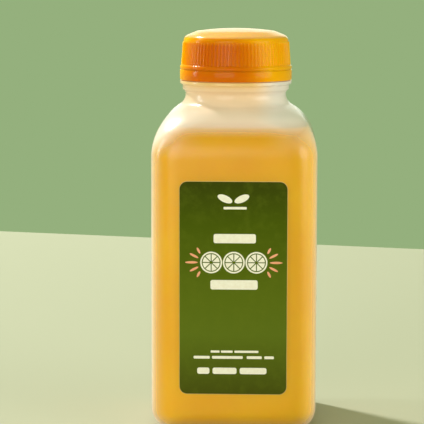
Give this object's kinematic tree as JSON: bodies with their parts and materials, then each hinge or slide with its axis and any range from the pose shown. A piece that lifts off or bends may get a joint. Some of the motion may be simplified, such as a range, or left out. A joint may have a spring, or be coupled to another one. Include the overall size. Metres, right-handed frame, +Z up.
{
  "type": "small square plastic bottle of orange juice",
  "caption": "Small square translucent plastic bottle filled with orange juice, with a ribbed orange screw cap, its tamper band and a plain green front label.",
  "frame": {"origin": "under the bottle's axis, on the plane that its standing ring rests on", "axes": "+Z up along the bottle, -Y out of the labelled front, +X to the right seen from the front"},
  "size_m": [0.0596, 0.0599, 0.1446],
  "materials": {
    "bottle_plastic": "thin natural plastic, translucent and slightly milky, satin gloss",
    "juice": "cloudy amber-yellow liquid, opaque at this depth, wet surface",
    "cap_plastic": "moulded orange plastic, slightly translucent, satin gloss",
    "label_film": "printed green film label, matte with a slight sheen",
    "label_print": "cream printed bars and simple shapes, flat ink",
    "label_accent": "coral printed rays, flat ink"
  },
  "bodies": {
    "root": {"bottle": "bottle_plastic", "juice": "juice", "tamper_band": "cap_plastic", "cap": "cap_plastic", "label": "label_film"}
  },
  "joints": []
}
